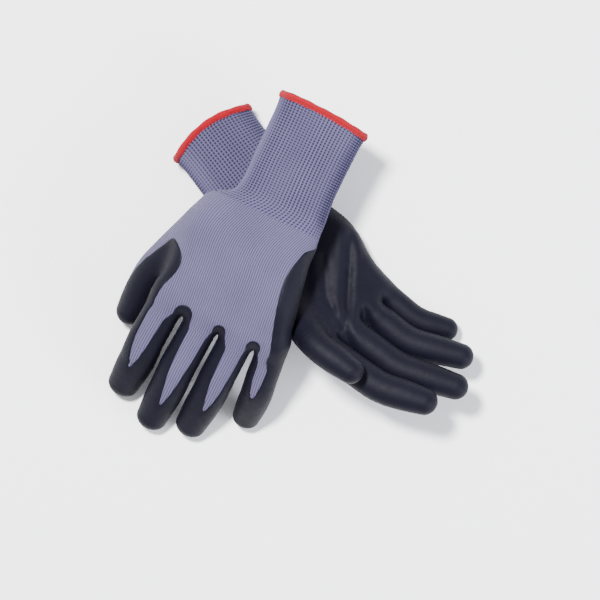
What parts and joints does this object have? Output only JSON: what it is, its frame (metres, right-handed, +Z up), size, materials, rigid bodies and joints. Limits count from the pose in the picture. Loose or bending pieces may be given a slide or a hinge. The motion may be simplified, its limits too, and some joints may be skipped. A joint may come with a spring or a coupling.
{
  "type": "work gloves",
  "caption": "Pair of knitted work gloves with dark foam-coated palms and fingers, ribbed cuffs and red overlocked edges, one lying across the other.",
  "frame": {"origin": "middle of the pair's footprint, on the surface it lies on", "axes": "+Z up; -Y is the way the left glove's fingers point; +X is roughly the way the right glove's fingers point"},
  "size_m": [0.2414, 0.2396, 0.0797],
  "materials": {
    "knit": "fine machine knit, nylon",
    "rib": "ribbed knit with elastic courses",
    "elastic": "covered elastic yarn",
    "binding": "overlocked yarn edge",
    "coating": "matt foam nitrile dip"
  },
  "bodies": {
    "left_hand": {"left_cuff_rib": "rib", "left_cuff_binding": "binding", "left_cuff_elastic": "elastic", "left_back_knit": "knit", "left_palm_knit": "knit", "left_knuckle_knit": "knit", "left_palm_coat": "coating"},
    "left_thumb_lower": {"left_thumb_stall_lower": "knit", "left_thumb_coat_lower": "coating"},
    "left_thumb_tip": {"left_thumb_stall_tip": "knit", "left_thumb_coat_tip": "coating"},
    "left_index_lower": {"left_index_stall_lower": "knit", "left_index_coat_lower": "coating"},
    "left_index_tip": {"left_index_stall_tip": "knit", "left_index_coat_tip": "coating"},
    "left_middle_lower": {"left_middle_stall_lower": "knit", "left_middle_coat_lower": "coating"},
    "left_middle_tip": {"left_middle_stall_tip": "knit", "left_middle_coat_tip": "coating"},
    "left_ring_lower": {"left_ring_stall_lower": "knit", "left_ring_coat_lower": "coating"},
    "left_ring_tip": {"left_ring_stall_tip": "knit", "left_ring_coat_tip": "coating"},
    "left_little_lower": {"left_little_stall_lower": "knit", "left_little_coat_lower": "coating"},
    "left_little_tip": {"left_little_stall_tip": "knit", "left_little_coat_tip": "coating"},
    "right_hand": {"right_cuff_rib": "rib", "right_cuff_binding": "binding", "right_cuff_elastic": "elastic", "right_back_knit": "knit", "right_palm_knit": "knit", "right_knuckle_knit": "knit", "right_palm_coat": "coating"},
    "right_thumb_lower": {"right_thumb_stall_lower": "knit", "right_thumb_coat_lower": "coating"},
    "right_thumb_tip": {"right_thumb_stall_tip": "knit", "right_thumb_coat_tip": "coating"},
    "right_index_lower": {"right_index_stall_lower": "knit", "right_index_coat_lower": "coating"},
    "right_index_tip": {"right_index_stall_tip": "knit", "right_index_coat_tip": "coating"},
    "right_middle_lower": {"right_middle_stall_lower": "knit", "right_middle_coat_lower": "coating"},
    "right_middle_tip": {"right_middle_stall_tip": "knit", "right_middle_coat_tip": "coating"},
    "right_ring_lower": {"right_ring_stall_lower": "knit", "right_ring_coat_lower": "coating"},
    "right_ring_tip": {"right_ring_stall_tip": "knit", "right_ring_coat_tip": "coating"},
    "right_little_lower": {"right_little_stall_lower": "knit", "right_little_coat_lower": "coating"},
    "right_little_tip": {"right_little_stall_tip": "knit", "right_little_coat_tip": "coating"}
  },
  "joints": [
    {"name": "left_glove_lift", "type": "slide", "parent": "right_hand", "child": "left_hand", "axis": [0, 0, 1], "range_m": [0, 0.15]},
    {"name": "left_thumb_root", "type": "hinge", "parent": "left_hand", "child": "left_thumb_lower", "pos_m": [-0.09168, -0.0031, 0.03996], "axis": [0.0874, -0.5086, 0.8566], "range_deg": [-8, 20], "deforming": ["left_thumb_stall_lower", "left_thumb_coat_lower"]},
    {"name": "left_thumb_middle", "type": "hinge", "parent": "left_thumb_lower", "child": "left_thumb_tip", "pos_m": [-0.10103, -0.02142, 0.03004], "axis": [0.1842, -0.5156, 0.8368], "range_deg": [-8, 30], "deforming": ["left_thumb_stall_tip", "left_thumb_coat_tip"]},
    {"name": "left_index_root", "type": "hinge", "parent": "left_hand", "child": "left_index_lower", "pos_m": [-0.08369, -0.04909, 0.04454], "axis": [0.999, -0.0311, 0.031], "range_deg": [-20, 35], "deforming": ["left_index_stall_lower"]},
    {"name": "left_index_middle", "type": "hinge", "parent": "left_index_lower", "child": "left_index_tip", "pos_m": [-0.08403, -0.07142, 0.03304], "axis": [0.9995, -0.0103, 0.0287], "range_deg": [-15, 45], "deforming": ["left_index_stall_tip"]},
    {"name": "left_middle_root", "type": "hinge", "parent": "left_hand", "child": "left_middle_lower", "pos_m": [-0.05832, -0.05115, 0.04617], "axis": [0.9986, -0.0426, 0.0312], "range_deg": [-20, 35], "deforming": ["left_middle_stall_lower"]},
    {"name": "left_middle_middle", "type": "hinge", "parent": "left_middle_lower", "child": "left_middle_tip", "pos_m": [-0.05903, -0.07742, 0.03304], "axis": [0.9992, -0.0248, 0.0298], "range_deg": [-15, 45], "deforming": ["left_middle_stall_tip"]},
    {"name": "left_ring_root", "type": "hinge", "parent": "left_hand", "child": "left_ring_lower", "pos_m": [-0.03203, -0.05096, 0.0468], "axis": [0.9986, -0.025, 0.046], "range_deg": [-20, 35], "deforming": ["left_ring_stall_lower"]},
    {"name": "left_ring_middle", "type": "hinge", "parent": "left_ring_lower", "child": "left_ring_tip", "pos_m": [-0.03203, -0.07442, 0.03404], "axis": [0.998, -0.0462, 0.0431], "range_deg": [-15, 45], "deforming": ["left_ring_stall_tip"]},
    {"name": "left_little_root", "type": "hinge", "parent": "left_hand", "child": "left_little_lower", "pos_m": [-0.00564, -0.04696, 0.04689], "axis": [0.9933, 0.0924, 0.07], "range_deg": [-20, 35], "deforming": ["left_little_stall_lower"]},
    {"name": "left_little_middle", "type": "hinge", "parent": "left_little_lower", "child": "left_little_tip", "pos_m": [-0.00353, -0.06142, 0.03604], "axis": [0.9954, 0.0734, 0.0623], "range_deg": [-15, 45], "deforming": ["left_little_stall_tip"]},
    {"name": "right_thumb_root", "type": "hinge", "parent": "right_hand", "child": "right_thumb_lower", "pos_m": [0.00711, -0.01393, 0.04856], "axis": [-0.7833, -0.3668, 0.5019], "range_deg": [-5, 20], "deforming": ["right_thumb_stall_lower", "right_thumb_coat_lower"]},
    {"name": "right_thumb_middle", "type": "hinge", "parent": "right_thumb_lower", "child": "right_thumb_tip", "pos_m": [0.01847, -0.02042, 0.06154], "axis": [-0.5312, -0.57, 0.6268], "range_deg": [-5, 25], "deforming": ["right_thumb_stall_tip", "right_thumb_coat_tip"]},
    {"name": "right_index_root", "type": "hinge", "parent": "right_hand", "child": "right_index_lower", "pos_m": [0.03927, -0.02179, 0.04469], "axis": [-0.1827, -0.865, 0.4673], "range_deg": [-10, 45], "deforming": ["right_index_stall_lower"]},
    {"name": "right_index_middle", "type": "hinge", "parent": "right_index_lower", "child": "right_index_tip", "pos_m": [0.06847, -0.02642, 0.04754], "axis": [-0.0381, -0.8834, 0.4671], "range_deg": [-8, 55], "deforming": ["right_index_stall_tip"]},
    {"name": "right_middle_root", "type": "hinge", "parent": "right_hand", "child": "right_middle_lower", "pos_m": [0.04423, -0.00371, 0.03376], "axis": [-0.1966, -0.8612, 0.4686], "range_deg": [-10, 45], "deforming": ["right_middle_stall_lower"]},
    {"name": "right_middle_middle", "type": "hinge", "parent": "right_middle_lower", "child": "right_middle_tip", "pos_m": [0.07347, -0.00942, 0.03554], "axis": [-0.0457, -0.8823, 0.4685], "range_deg": [-8, 55], "deforming": ["right_middle_stall_tip"]},
    {"name": "right_ring_root", "type": "hinge", "parent": "right_hand", "child": "right_ring_lower", "pos_m": [0.04908, 0.01407, 0.02245], "axis": [-0.2368, -0.8508, 0.4692], "range_deg": [-10, 45], "deforming": ["right_ring_stall_lower"]},
    {"name": "right_ring_middle", "type": "hinge", "parent": "right_ring_lower", "child": "right_ring_tip", "pos_m": [0.07147, 0.00828, 0.02324], "axis": [-0.0485, -0.8818, 0.469], "range_deg": [-8, 55], "deforming": ["right_ring_stall_tip"]},
    {"name": "right_little_root", "type": "hinge", "parent": "right_hand", "child": "right_little_lower", "pos_m": [0.05189, 0.03056, 0.01134], "axis": [-0.2706, -0.8406, 0.4693], "range_deg": [-10, 45], "deforming": ["right_little_stall_lower"]},
    {"name": "right_little_middle", "type": "hinge", "parent": "right_little_lower", "child": "right_little_tip", "pos_m": [0.06897, 0.02478, 0.01084], "axis": [-0.0846, -0.879, 0.4693], "range_deg": [-8, 55], "deforming": ["right_little_stall_tip"]}
  ]
}
